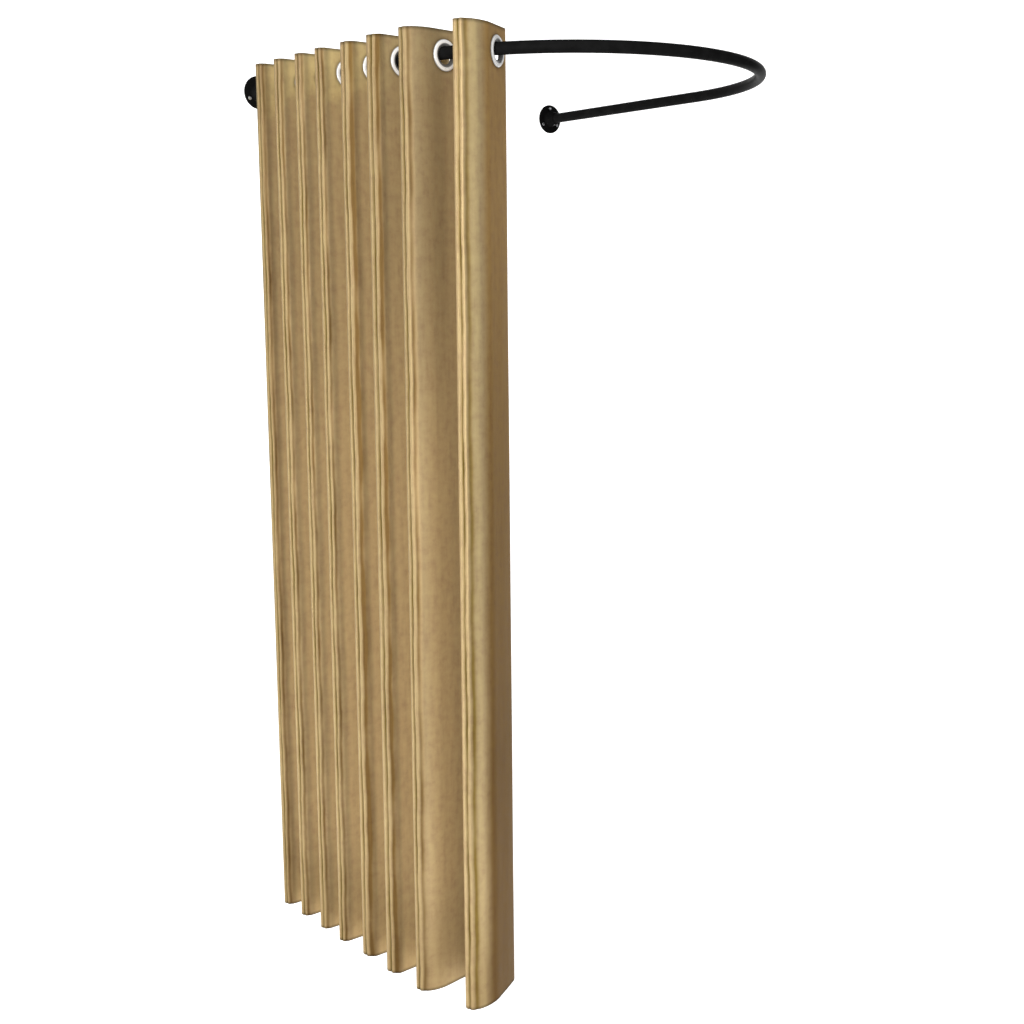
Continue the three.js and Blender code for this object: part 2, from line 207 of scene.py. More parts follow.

# Painted shade of the fold at the wall
WALL_FOLD = 14
WALL_EDGE_SHADE = np.array((0.50, 0.46, 0.55))
WALL_EDGE_BREADTH = 0.009
WALL_RIDGE_SHADE = np.array((0.26, 0.30, 0.34))
WALL_RIDGE_START = (0.021, 0.027)
WALL_RIDGE_END = (0.036, 0.052)

# Painted light on the heading, one depth for each fold, painted shade towards the hem, and a
# painted shadow round each eyelet
HEADING_DEPTHS = (0.100, 0.095, 0.085, 0.085, 0.095, 0.065, 0.070, 0.105)
HEADING_SLANT = 0.022
HEADING_SLANT_REACH = (0.02, 0.11)
HEADING_BORDER = (-0.020, 0.010)
HEADING_WAVES = ((0.005, 0.061, 0.3),)
HEADING_LIGHT = np.array((0.32, 0.40, 0.28))
HEADING_NEAR_SHARE = 0.05
HEM_FADE = 0.30
HEM_SHADE = np.array((0.32, 0.35, 0.40))
CREST_BAND_AT = 0.014
HEADING_BAND_BREADTH = 0.020
HEADING_BAND_SHARE = 1.3
HEM_BAND_BREADTH = 0.014
HEM_BAND_SHARE = 0.5
LEAD_HEM_SHARE = 0.5
LEAD_HEM_REACH = (0.090, 0.060)
FLANK_HEM_AT = 0.095
FLANK_HEM_BREADTH = 0.035
FLANK_HEM_SHARE = 0.45
EYELET_SHADOW_BREADTH = 0.0035
EYELET_SHADOW_SHARE = 0.45

# Satin and nickel: the stops of their ramps, and how fine the weave is each way
SATIN_TONES = ((0.32, (0.348, 0.239, 0.129)), (0.5, (0.414, 0.302, 0.156)), (0.68, (0.457, 0.346, 0.175)))
SATIN_EDGE_SHADES = ((0, 0.30), (0.0012, 1), (0.9986, 1), (1, 0.30))
SATIN_GLOSS = ((0.3, 0.36), (0.7, 0.46))
WEAVE = (("X", 420), ("Y", 300))
# The nickel's ramp by the distance from the ring's axis: painted shade and dark reflections in the throat,
# bright face, and a painted dark outline at the outer edge
RING_PAINTED_SHADES = ((EYELET_BORE / EYELET_RADIUS, 0.12), (0.72, 0.16), (0.79, 1), (0.94, 1), (0.99, 0.34))

# How finely the cloth is meshed, and how it is held flat at the eyelets
CLOTH_STEP = 0.0013
FLANK_STEP = 0.004
EYELET_ROW = 0.003
CLOTH_ROW = 0.013
STEP_SLACK = 0.95
EYELET_ZONE = 0.046
HOLE_RADIUS = 0.0215
HELD_REACH = (0.002, 0.02)
HELD_DROP = 0.06

# Stage and camera
HEM_ABOVE_FLOOR = 0.12
STAGE_PLACE = (0.35, -0.45, 0)
STAGE_STEPS = 16
CAMERA_PLACE = (-1.6423, -2.9607, -0.4561)
CAMERA_YAW = radians(39.004)
CAMERA_PITCH = radians(9.306)
CAMERA_ROLL = radians(-0.500)
CAMERA_LENS = 48.175


# Shapes
def new_object(name, points, faces, sharp=SHARP):
    mesh = bpy.data.meshes.new(name)
    mesh.from_pydata(points, [], faces)
    mesh.shade_smooth()
    if sharp:
        mesh.set_sharp_from_angle(angle=sharp)
    obj = bpy.data.objects.new(name, mesh)
    scene.collection.objects.link(obj)
    return obj


def rounded(profile, radius, steps=4):
    """A profile with each inner corner rounded by that radius, or by less where its sides are short."""
    points = [profile[0]]
    for before, corner, after in zip(profile, profile[1:], profile[2:]):
        a, b, c = Vector(before), Vector(corner), Vector(after)
        into, out = (a - b), (c - b)
        reach = min(radius, into.length / LEAST_SIDE, out.length / LEAST_SIDE)
        start = b + into.normalized() * reach
        end = b + out.normalized() * reach
        for i in range(steps + 1):
            t = i / steps
            spot = start * (1 - t) ** 2 + b * 2 * t * (1 - t) + end * t ** 2
            points.append((spot.x, spot.y))
    points.append(profile[-1])
    return points


def turned(name, profile, place, axis, segments, reach_name=None):
    """A round body about an axis through a place, from (radius, height) pairs. A profile that
    starts and ends on the axis is capped there, and any other is a closed ring."""
    axis = Vector(axis).normalized()
    across = axis.orthogonal().normalized()
    up = axis.cross(across)
    on_axis = profile[0][0] == 0
    rings = profile[1:-1] if on_axis else profile
    points = []
    for radius, height in rings:
        for i in range(segments):
            angle = 2 * pi * i / segments
            spoke = across * cos(angle) + up * sin(angle)
            points.append(Vector(place) + axis * height + spoke * radius)
    faces = []
    count = len(rings)
    last = count - 1 if on_axis else count
    for ring in range(last):
        after = (ring + 1) % count
        for i in range(segments):
            j = (i + 1) % segments
            faces.append((ring * segments + i, ring * segments + j,
                          after * segments + j, after * segments + i))
    if on_axis:
        for ring, (_, height) in ((0, profile[0]), (count - 1, profile[-1])):
            centre = len(points)
            points.append(Vector(place) + axis * height)
            for i in range(segments):
                j = (i + 1) % segments
                pair = (ring * segments + i, ring * segments + j)
                faces.append((centre, *(reversed(pair) if ring == 0 else pair)))
    obj = new_object(name, points, faces)
    face_out(obj)
    if reach_name:
        attribute = obj.data.attributes.new(reach_name, "FLOAT", "POINT")
        attribute.data.foreach_set("value", [radius for radius, _ in rings for _ in range(segments)])
    return obj


def face_out(obj):
    mesh = bmesh.new()
    mesh.from_mesh(obj.data)
    bmesh.ops.recalc_face_normals(mesh, faces=mesh.faces)
    mesh.to_mesh(obj.data)
    mesh.free()


def cut(obj, tools):
    """Cuts the tools out of obj and removes them."""
    for tool in tools:
        modifier = obj.modifiers.new("cut", "BOOLEAN")
        modifier.object = tool
        modifier.operation = "DIFFERENCE"
        modifier.solver = "EXACT"
    shaped = bpy.data.meshes.new_from_object(obj.evaluated_get(bpy.context.evaluated_depsgraph_get()))
    shaped.name = obj.name
    obj.modifiers.clear()
    obj.data = shaped
    obj.data.set_sharp_from_angle(angle=SHARP_CUT)
    for tool in tools:
        bpy.data.objects.remove(tool)


def box_tool(name, size, place, turn=0):
    half = Vector(size) / 2
    corners = [(sx * half.x, sy * half.y, sz * half.z) for sx in (-1, 1) for sy in (-1, 1) for sz in (-1, 1)]
    faces = [(0, 1, 3, 2), (4, 6, 7, 5), (0, 4, 5, 1), (2, 3, 7, 6), (0, 2, 6, 4), (1, 5, 7, 3)]
    obj = new_object(name, corners, faces, sharp=None)
    obj.data.transform(Matrix.Translation(place) @ Matrix.Rotation(turn, 4, "Y"))
    return obj


def rail_at(distance):
    """The rail's centre line at a distance from the left wall face: x, y and how far it has turned."""
    if distance <= LEG_LENGTH:
        return 0.0, -distance, 0.0
    if distance >= LEG_LENGTH + 2 * QUARTER:
        return RAIL_WIDTH, distance - 2 * LEG_LENGTH - 2 * QUARTER, pi
    turn = (distance - LEG_LENGTH) / BEND_RADIUS
    return BEND_RADIUS - BEND_RADIUS * cos(turn), -LEG_LENGTH - BEND_RADIUS * sin(turn), turn


def rail_tube(name, start, end, radius, wall):
    """A tube along the rail between two distances, with its outer edges eased."""
    steps = max(2, ceil((end - start) / TUBE_STEP))
    stations = [start + (end - start) * i / steps for i in range(steps + 1)]
    loop = [
        (start, radius - TUBE_EDGE), (start + TUBE_EDGE, radius), *((s, radius) for s in stations[1:-1]),
        (end - TUBE_EDGE, radius), (end, radius - TUBE_EDGE),
        *((s, radius - wall) for s in reversed(stations)),
    ]
    segments = TUBE_SEGMENTS
    points = []
    for distance, reach in loop:
        x, y, turn = rail_at(distance)
        for i in range(segments):
            angle = 2 * pi * i / segments
            points.append((x + reach * cos(angle) * cos(turn), y + reach * cos(angle) * sin(turn),
                           reach * sin(angle)))
    faces = []
    for ring in range(len(loop)):
        after = (ring + 1) % len(loop)
        for i in range(segments):
            j = (i + 1) % segments
            faces.append((ring * segments + i, after * segments + i,
                          after * segments + j, ring * segments + j))
    obj = new_object(name, points, faces)
    face_out(obj)
    return obj


# Materials
def new_material(name):
    material = bpy.data.materials.new(name)
    material.use_nodes = True
    return material, material.node_tree.nodes, material.node_tree.links


def bump_chain(nodes, links, heights, shader, distance, strength):
    """A bump from a sum of height sockets into the shader's normal. Its distance is in metres."""
    total = heights[0]
    for height in heights[1:]:
        add = nodes.new("ShaderNodeMath")
        links.new(total, add.inputs[0])
        links.new(height, add.inputs[1])
        total = add.outputs[0]
    bump = nodes.new("ShaderNodeBump")
    bump.inputs["Strength"].default_value = strength
    bump.inputs["Distance"].default_value = distance
    links.new(total, bump.inputs["Height"])
    links.new(bump.outputs["Normal"], shader.inputs["Normal"])


def noise(nodes, links, coordinates, scale, detail, roughness):
    texture = nodes.new("ShaderNodeTexNoise")
    texture.inputs["Scale"].default_value = scale
    texture.inputs["Detail"].default_value = detail
    texture.inputs["Roughness"].default_value = roughness
    links.new(coordinates, texture.inputs["Vector"])
    return texture.outputs["Fac"]


def weighted(nodes, links, terms):
    """The sum of some sockets, each times its weight."""
    total = None
    for socket, weight in terms:
        node = nodes.new("ShaderNodeMath")
        node.operation = "MULTIPLY_ADD"
        node.inputs[1].default_value = weight
        node.inputs[2].default_value = 0
        links.new(socket, node.inputs[0])
        if total:
            links.new(total, node.inputs[2])
        total = node.outputs[0]
    return total


def ratio(nodes, links, socket, whole):
    node = nodes.new("ShaderNodeMath")
    node.operation = "DIVIDE"
    node.inputs[1].default_value = whole
    links.new(socket, node.inputs[0])
    return node.outputs[0]


def ramp(nodes, links, factor, stops):
    node = nodes.new("ShaderNodeValToRGB")
    elements = node.color_ramp.elements
    while len(elements) > 1:
        elements.remove(elements[-1])
    elements[0].position = stops[0][0]
    elements[0].color = (*stops[0][1], 1)
    for place, colour in stops[1:]:
        element = elements.new(place)
        element.color = (*colour, 1)
    links.new(factor, node.inputs["Fac"])
    return node.outputs["Color"]


def multiplied(nodes, links, first, second):
    node = nodes.new("ShaderNodeMix")
    node.data_type = "RGBA"
    node.blend_type = "MULTIPLY"
    node.inputs["Factor"].default_value = 1
    links.new(first, node.inputs["A"])
    links.new(second, node.inputs["B"])
    return node.outputs["Result"]


def attribute_node(nodes, name):
    node = nodes.new("ShaderNodeAttribute")
    node.attribute_name = name
    return node


def grey_ramp(nodes, links, factor, stops):
    return ramp(nodes, links, factor, [(place, (value, value, value)) for place, value in stops])


def coated_metal(name, colour, dusty, roughness, grain):
    """A painted or plated metal with fine grain, patchy gloss and a faint dusty tone."""
    material, nodes, links = new_material(name)
    shader = nodes["Principled BSDF"]
    place = nodes.new("ShaderNodeTexCoord").outputs["Object"]
    patches = noise(nodes, links, place, 38, 4, 0.6)
    colours = ramp(nodes, links, patches, [(0.3, colour), (0.75, dusty)])
    links.new(colours, shader.inputs["Base Color"])
    gloss = grey_ramp(nodes, links, patches, [(0.25, roughness * 0.85), (0.8, roughness * 1.25)])
    links.new(gloss, shader.inputs["Roughness"])
    shader.inputs["Specular IOR Level"].default_value = 0.005
    bump_chain(nodes, links, [noise(nodes, links, place, grain, 2, 0.5)], shader,
               distance=0.0002, strength=0.25)
    return material


def bare_metal(name, colour, worn, roughness, brushed, metallic=1):
    """A plated bare metal with fine drawn marks."""
    material, nodes, links = new_material(name)
    shader = nodes["Principled BSDF"]
    shader.inputs["Metallic"].default_value = metallic
    place = nodes.new("ShaderNodeTexCoord").outputs["Object"]
    patches = noise(nodes, links, place, 60, 4, 0.6)
    colours = ramp(nodes, links, patches, [(0.3, colour), (0.8, worn)])
    links.new(colours, shader.inputs["Base Color"])
    gloss = grey_ramp(nodes, links, patches, [(0.25, roughness * 0.8), (0.8, roughness * 1.3)])
    links.new(gloss, shader.inputs["Roughness"])
    bump_chain(nodes, links, [noise(nodes, links, place, brushed, 2, 0.4)], shader,
               distance=0.0001, strength=0.12)
    return material


def ring_nickel():
    """Nickel, bright on the ring's face, with painted shade and painted dark reflections in its throat and a
    painted dark outline at its outer edge, by the distance from its axis.
    """
    material = bare_metal("polished_nickel", (0.99, 0.98, 0.96), (0.94, 0.93, 0.91), 0.3, 500, 0.2)
    nodes, links = material.node_tree.nodes, material.node_tree.links
    shader = nodes["Principled BSDF"]
    face = shader.inputs["Base Color"].links[0].from_socket
    reach = attribute_node(nodes, "ring_reach").outputs["Fac"]
    # Painted shade and dark reflections in the throat and a painted dark outline at the outer edge
    throat = grey_ramp(nodes, links, ratio(nodes, links, reach, EYELET_RADIUS), RING_PAINTED_SHADES)
    links.new(multiplied(nodes, links, face, throat), shader.inputs["Base Color"])
    return material


def satin():
    """Gold satin: a fine weave, slubs, soft mottling and darker cut edges. cloth_place holds each
    point's place on the flat cloth, in metres, and a second attribute the painted light and shade multiplied
    into its colour."""
    material, nodes, links = new_material("gold_satin")
    shader = nodes["Principled BSDF"]
    place = attribute_node(nodes, "cloth_place").outputs["Vector"]
    stretched = nodes.new("ShaderNodeMapping")
    stretched.inputs["Scale"].default_value = (1, 0.12, 1)
    links.new(place, stretched.inputs["Vector"])
    tall = stretched.outputs["Vector"]
    mottle = noise(nodes, links, place, 55, 5, 0.65)
    streak = noise(nodes, links, tall, 90, 3, 0.55)
    tone = weighted(nodes, links, [(mottle, 0.6), (streak, 0.4)])
    colours = ramp(nodes, links, tone, SATIN_TONES)
    split = nodes.new("ShaderNodeSeparateXYZ")
    links.new(place, split.inputs["Vector"])
    drop = CLOTH_TOP - CLOTH_BOTTOM
    edge = grey_ramp(nodes, links, ratio(nodes, links, split.outputs["Y"], drop), SATIN_EDGE_SHADES)
    shaded_edge = multiplied(nodes, links, colours, edge)
    # Painted light and shade, multiplied into the satin's colour
    tint = attribute_node(nodes, "cloth_painted_shading").outputs["Vector"]
    links.new(multiplied(nodes, links, shaded_edge, tint), shader.inputs["Base Color"])
    shader.inputs["Metallic"].default_value = 0.3
    gloss = grey_ramp(nodes, links, mottle, SATIN_GLOSS)
    links.new(gloss, shader.inputs["Roughness"])
    shader.inputs["Specular IOR Level"].default_value = 0.1
    shader.inputs["Specular Tint"].default_value = (0.80, 0.66, 0.42, 1)
    threads = []
    for direction, scale in WEAVE:
        wave = nodes.new("ShaderNodeTexWave")
        wave.wave_type = "BANDS"
        wave.bands_direction = direction
        wave.inputs["Scale"].default_value = scale
        links.new(place, wave.inputs["Vector"])
        threads.append(wave.outputs["Fac"])
    slub = noise(nodes, links, tall, 420, 2, 0.5)
    bump_chain(nodes, links, [*threads, slub], shader, distance=0.00012, strength=0.22)
    return material


# Rail, sleeves, flanges and screws
def finished(obj, material, body, slot, *replaced):
    obj.data.materials.clear()
    obj.data.materials.append(material)
    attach(obj, body)
    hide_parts(*replaced)


def build_rail(black, zinc):
    joints = (LEG_LENGTH, LEG_LENGTH + QUARTER, LEG_LENGTH + 2 * QUARTER)
    length = 2 * LEG_LENGTH + 2 * QUARTER
    socket = FLANGE_THICKNESS + CLEARANCE
    gap = CLEARANCE / 2
    tubes = (
        ("left_leg", socket, joints[0] - gap),
        ("left_bend", joints[0] + gap, joints[1] - gap),
        ("right_bend", joints[1] + gap, joints[2] - gap),
        ("right_leg", joints[2] + gap, length - socket),
    )
    for name, start, end in tubes:
        tube = rail_tube(f"{name}_rail", start, end, TUBE_RADIUS, TUBE_WALL)
        finished(tube, black, "root", "rail_tube", f"{name}_tube")
    sleeve_radius = TUBE_RADIUS - TUBE_WALL - CLEARANCE
    for name, joint in zip(("left", "middle", "right"), joints):
        sleeve = rail_tube(f"{name}_sleeve", joint - SLEEVE_HALF, joint + SLEEVE_HALF, sleeve_radius,
                           SLEEVE_WALL)
        finished(sleeve, zinc, "root", "rail_sleeve", f"{name}_joining_sleeve")


def flange_profile():
    height = FLANGE_THICKNESS + NECK_LENGTH
    socket = TUBE_RADIUS + CLEARANCE
    return rounded([
        (0, 0), (FLANGE_RADIUS, 0), (FLANGE_RADIUS, FLANGE_THICKNESS), (NECK_BASE_RADIUS, FLANGE_THICKNESS),
        (NECK_TIP_RADIUS, height), (socket, height), (socket, FLANGE_THICKNESS), (0, FLANGE_THICKNESS),
    ], FLANGE_EDGE)


def screw_hole(place, axis):
    shank = SCREW_SHANK_RADIUS + CLEARANCE
    head = SCREW_HEAD_RADIUS + CLEARANCE
    return turned("screw_hole", [
        (0, -SCREW_HEAD_DEPTH), (shank, -SCREW_HEAD_DEPTH), (shank, FLANGE_THICKNESS - SCREW_HEAD_DEPTH),
        (head, FLANGE_THICKNESS), (head, FLANGE_THICKNESS + SCREW_HEAD_DEPTH),
        (0, FLANGE_THICKNESS + SCREW_HEAD_DEPTH),
    ], place, axis, SCREW_SEGMENTS)


def screw(name, place, axis):
    top = FLANGE_THICKNESS + CLEARANCE
    dome = [(SCREW_HEAD_RADIUS * cos(a), top + SCREW_DOME * sin(a))
            for a in (pi / 2 * i / DOME_STEPS for i in range(DOME_STEPS))]
    body = turned(name, [
        (0, CLEARANCE), (SCREW_SHANK_RADIUS, CLEARANCE), (SCREW_SHANK_RADIUS, top - SCREW_HEAD_DEPTH),
        (SCREW_HEAD_RADIUS * 0.97, top - 0.0001), *dome, (0, top + SCREW_DOME),
    ], place, axis, SCREW_SEGMENTS)
    middle = Vector(place) + Vector(axis) * (top + SCREW_DOME)
    depth = 2 * CROSS_DEPTH
    cut(body, [
        box_tool("across", (CROSS_LENGTH, depth, CROSS_WIDTH), middle),
        box_tool("along", (CROSS_WIDTH, depth, CROSS_LENGTH), middle),
    ])
    return body


def build_flange(side, x, gloss, zinc):
    out = (0, -1, 0)
    places = []
    for i in range(SCREWS_PER_FLANGE):
        angle = pi / 2 + 2 * pi * i / SCREWS_PER_FLANGE
        places.append((x - SCREW_CIRCLE_RADIUS * cos(angle), 0, SCREW_CIRCLE_RADIUS * sin(angle)))
    flange = turned(f"{side}_flange", flange_profile(), (x, 0, 0), out, FLANGE_SEGMENTS)
    grub_hole = turned("grub_hole", [
        (0, 0), (GRUB_RADIUS + CLEARANCE, 0), (GRUB_RADIUS + CLEARANCE, NECK_BASE_RADIUS),
        (0, NECK_BASE_RADIUS),
    ], (x, -GRUB_FROM_WALL, -TUBE_RADIUS / 2), (0, 0, -1), GRUB_SEGMENTS)
    cut(flange, [screw_hole(place, out) for place in places] + [grub_hole])
    finished(flange, gloss, "root", "wall_flange", f"{side}_wall_flange")
    for i, place in enumerate(places):
        made = screw(f"{side}_screw_{i + 1}", place, out)
        finished(made, zinc, "root", "fastener", f"{side}_flange_screw_{i + 1}")
    top = TUBE_RADIUS + CLEARANCE
    low = top + GRUB_LENGTH
    grub = turned(f"{side}_locking_screw", [
        (0, top), (GRUB_RADIUS - GRUB_EDGE, top), (GRUB_RADIUS, top + GRUB_EDGE),
        (GRUB_RADIUS, low - GRUB_EDGE), (GRUB_RADIUS - GRUB_EDGE, low), (0, low),
    ], (x, -GRUB_FROM_WALL, 0), (0, 0, -1), GRUB_SEGMENTS)
    socket = turned("socket", [
        (0, -GRUB_SOCKET_DEPTH), (GRUB_SOCKET_RADIUS, -GRUB_SOCKET_DEPTH),
        (GRUB_SOCKET_RADIUS, GRUB_SOCKET_DEPTH), (0, GRUB_SOCKET_DEPTH),
    ], (x, -GRUB_FROM_WALL, -low), (0, 0, -1), HEX_SIDES)
    cut(grub, [socket])
    finished(grub, zinc, "root", "fastener", f"{side}_tube_grub_screw")


# Plan of the cloth: lists of (x, y, heading) along its middle line, as in the frame
def eyelet_places():
    places = []
    for share, width in zip(NEAR_EYELET_SHARES, FOLD_WIDTH_SHARES):
        for distance, outward in ((share, True), (share - width, False)):
            x, y, turn = rail_at(distance * GATHER_LENGTH)
            lean = LEAN_SHARES[len(places)] if len(places) < len(LEAN_SHARES) else 0
            heading = turn - lean * min(turn, LEAN_TURN) + (pi if outward else 0)
            places.append((x, y, heading, outward))
    return places


def inside(heading, side):
    return -side * sin(heading), side * cos(heading)


def ahead(place, distance):
    return place[0] + distance * cos(place[2]), place[1] + distance * sin(place[2])


def wrap(angle):
    return atan2(sin(angle), cos(angle))


def add_arc(points, centre, radius, side, heading, turn):
    steps = max(2, ceil(abs(turn * radius) / CLOTH_STEP))
    for i in range(1, steps + 1):
        now = heading + turn * i / steps
        across = inside(now, side)
        points.append((centre[0] - radius * across[0], centre[1] - radius * across[1], now))


def add_straight(points, spot, heading):
    x, y = points[-1][:2]
    steps = max(1, ceil(hypot(spot[0] - x, spot[1] - y) / CLOTH_STEP))
    for i in range(1, steps + 1):
        points.append((x + (spot[0] - x) * i / steps, y + (spot[1] - y) * i / steps, heading))


def even_gap(side, a, b):
    width = hypot(b[0] - a[0], b[1] - a[1])
    radius = min(CREST_ROUND_SHARE * width / 2, (CREST_ALLOWANCE - width) / (pi - 2))
    flank = (EYELET_SPACING - width - (pi - 2) * radius) / 2
    start, finish = ahead(a, flank), ahead(b, -flank)
    first, last = inside(a[2], side), inside(b[2], side)
    first_centre = (start[0] + radius * first[0], start[1] + radius * first[1])
    last_centre = (finish[0] + radius * last[0], finish[1] + radius * last[1])
    crest = atan2(last_centre[1] - first_centre[1], last_centre[0] - first_centre[0])
    across = inside(crest, side)
    points = [a[:3]]
    add_straight(points, start, a[2])
    add_arc(points, first_centre, radius, side, a[2], wrap(crest - a[2]))
    add_straight(points, (last_centre[0] - radius * across[0], last_centre[1] - radius * across[1]), crest)
    add_arc(points, last_centre, radius, side, crest, wrap(b[2] - crest))
    add_straight(points, b[:2], b[2])
    return points


def bow(spot, heading, side, centre, radius):
    """The arc that leaves a spot with a heading and runs smoothly into the crest's circle."""
    across = inside(heading, side)
    offset = (spot[0] - centre[0], spot[1] - centre[1])
    lack = across[0] * offset[0] + across[1] * offset[1] + radius
    bow_radius = (radius ** 2 - offset[0] ** 2 - offset[1] ** 2) / (2 * lack)
    bow_centre = (spot[0] + bow_radius * across[0], spot[1] + bow_radius * across[1])
    share = bow_radius / (bow_radius - radius)
    meet = [b + (c - b) * share for b, c in zip(bow_centre, centre)]
    inward = [(c - m) * side / radius for c, m in zip(centre, meet)]
    return bow_radius, bow_centre, atan2(-inward[0], inward[1])


def leading_gap(gap, side, a, b):
    width = hypot(b[0] - a[0], b[1] - a[1])
    radius = CREST_RADIUS_SHARES[gap] * width
    along = ((b[0] - a[0]) / width, (b[1] - a[1]) / width)
    across = (along[1] * side, -along[0] * side)
    reach = CREST_REACH_SHARES[gap] * EYELET_SPACING
    drift = CREST_DRIFT_SHARES[gap] * EYELET_SPACING
    centre = [(p + q) / 2 + c * reach + l * drift for p, q, c, l in zip(a, b, across, along)]
    start, finish = ahead(a, END_FLAT), ahead(b, -END_FLAT)
    first_radius, first_centre, first_heading = bow(start, a[2], side, centre, radius)
    last_radius, last_centre, last_heading = bow(finish, b[2] + pi, -side, centre, radius)
    last_heading += pi
    turn = side * ((side * (last_heading - first_heading) + 4 * pi) % (2 * pi))
    points = [a[:3]]
    add_straight(points, start, a[2])
    add_arc(points, first_centre, first_radius, side, a[2], wrap(first_heading - a[2]))
    add_arc(points, centre, radius, side, first_heading, turn)
    add_arc(points, last_centre, last_radius, side, last_heading, wrap(b[2] - last_heading))
    add_straight(points, b[:2], b[2])
    return points


def free_end(place, reach, side, curl):
    start = ahead(place, reach * curl["flat"])
    across = inside(place[2], side)
    centre = (start[0] + curl["radius"] * across[0], start[1] + curl["radius"] * across[1])
    points = [place[:3]]
    add_straight(points, start, place[2])
    add_arc(points, centre, curl["radius"], side, place[2], reach * side * curl["turn"])
    add_straight(points, ahead(points[-1], reach * curl["tail"]), points[-1][2])
    return points if reach > 0 else points[::-1]


def cloth_plan():
    """The plan of the whole cloth, and the index in it where each eyelet is."""
    places = eyelet_places()
    parts = [free_end(places[0], -1, -1, LEADING_CURL)]
    for gap in range(len(places) - 1):
        a, b = places[gap], places[gap + 1]
        side = -1 if a[3] else 1
        leading = gap < len(CREST_REACH_SHARES)
        parts.append(leading_gap(gap, side, a, b) if leading else even_gap(side, a, b))
    parts.append(free_end(places[-1], 1, 1, WALL_CURL))
    parts = [thinned(part, fine=k % 2 == 1) for k, part in enumerate(parts)]
    plan = list(parts[0])
    borders = []
    for part in parts[1:]:
        borders.append(len(plan) - 1)
        plan += part[1:]
    return np.array(plan), borders


def thinned(points, fine):
    """The points of one gap, at the fine step near an outer crest and at the wide step elsewhere."""
    spots = np.array(points)
    along = np.concatenate([[0], np.cumsum(np.hypot(*np.diff(spots[:, :2], axis=0).T))])
    crest = along[np.argmin(spots[:, :2] @ CREST_SIDE)]
    kept = [0]
    for i in range(1, len(points) - 1):
        near = fine and RIDGE_ZONE[0] < crest - along[i] < RIDGE_ZONE[1]
        if along[i] - along[kept[-1]] >= (CLOTH_STEP if near else FLANK_STEP) * STEP_SLACK:
            kept.append(i)
    if along[-1] - along[kept[-1]] < FLANK_STEP / 2 and len(kept) > 1:
        kept.pop()
    return [points[i] for i in [*kept, len(points) - 1]]


# Curtain
def smooth_step(value, low, high):
    t = np.clip((value - low) / (high - low), 0, 1)
    return t * t * (3 - 2 * t)


def waves(phase, terms, gap=1):
    """A sum of sines as (height, wave length, start) of a running length. A start is times the gap."""
    return sum(a * np.sin(2 * pi * (phase / length + start * gap)) for a, length, start in terms)


def cloth_rows():
    rows = [CLOTH_TOP]
    while rows[-1] > CLOTH_BOTTOM:
        fine = rows[-1] > -EYELET_ZONE
        rows.append(rows[-1] - (EYELET_ROW if fine else CLOTH_ROW))
    rows[-1] = CLOTH_BOTTOM
    return np.array(rows)


def bell(value, middle, spread):
    return np.exp(-((value - middle) / spread) ** 2)


def of_fold(values, gap):
    """The value for the fold at a gap between eyelets. The last one is for all the folds after it."""
    return values[min(gap // 2, len(values) - 1)]


def crest_place(arc, z, gap):
    """Where a point is in the pattern of ridges beside an outer crest, which wanders a little, the
    pattern's size in that fold, how deep it is there, and where the hollow is."""
    size = of_fold(PATTERN_SIZES, gap)
    depth = 1 + waves(z, RIDGE_VARIATION, gap)
    return (arc + waves(z, RIDGE_DRIFT, gap)) / size, size, depth, of_fold(HOLLOW_PLACES, gap)


def ripple(arc, z, gap):
    """How far the cloth stands off its plan beside an outer crest, by the distance round it: two
    soft ridges with a groove between them and a hollow after them."""
    at, size, depth, hollow_at = crest_place(arc, z, gap)
    groove = -GROOVE_DEPTH * bell(at, GROOVE_AT, GROOVE_BREADTH)
    hollow = -HOLLOW_DEPTH * bell(at, hollow_at, HOLLOW_BREADTH)
    return (groove + hollow) * size * depth


def shaded(tint, share, shade):
    """A painted shading less a share of a painted shade at each point. A painted light is a shade with a
    minus sign.
    """
    return tint * (1 - share[..., None] * shade)


def leading_painted_shading(tint, at, z, hollow):
    """The leading fold's painted shade and light: a painted shade in a hollow, a painted light band, and a
    painted shade on its edge that gets darker and browner downwards.
    """
    low = np.clip((-z - LOW_FADE[0]) / (LOW_FADE[1] - LOW_FADE[0]), 0, 1)
    moved = at + LEAD_SHIFT * (low - LEAD_SHIFT_MIDDLE)
    lead = smooth_step(moved, LEAD_START - LEAD_WIDENING * low, LEAD_END)
    # Painted shade in the hollow, growing towards the hem
    tint = shaded(tint, hollow * (1 + FIRST_HOLLOW_GAIN * low), FIRST_HOLLOW_SHADE)
    # A painted light band beside the hollow
    tint = shaded(tint, bell(at, BAND_AT, BAND_BREADTH) * (1 - BAND_LOSS * low), -BAND_LIGHT)
    # Painted shade on the leading edge, darker and browner towards the hem
    return shaded(tint, lead, TOP_LEAD_SHADE + (LOW_LEAD_SHADE - TOP_LEAD_SHADE) * low[..., None])


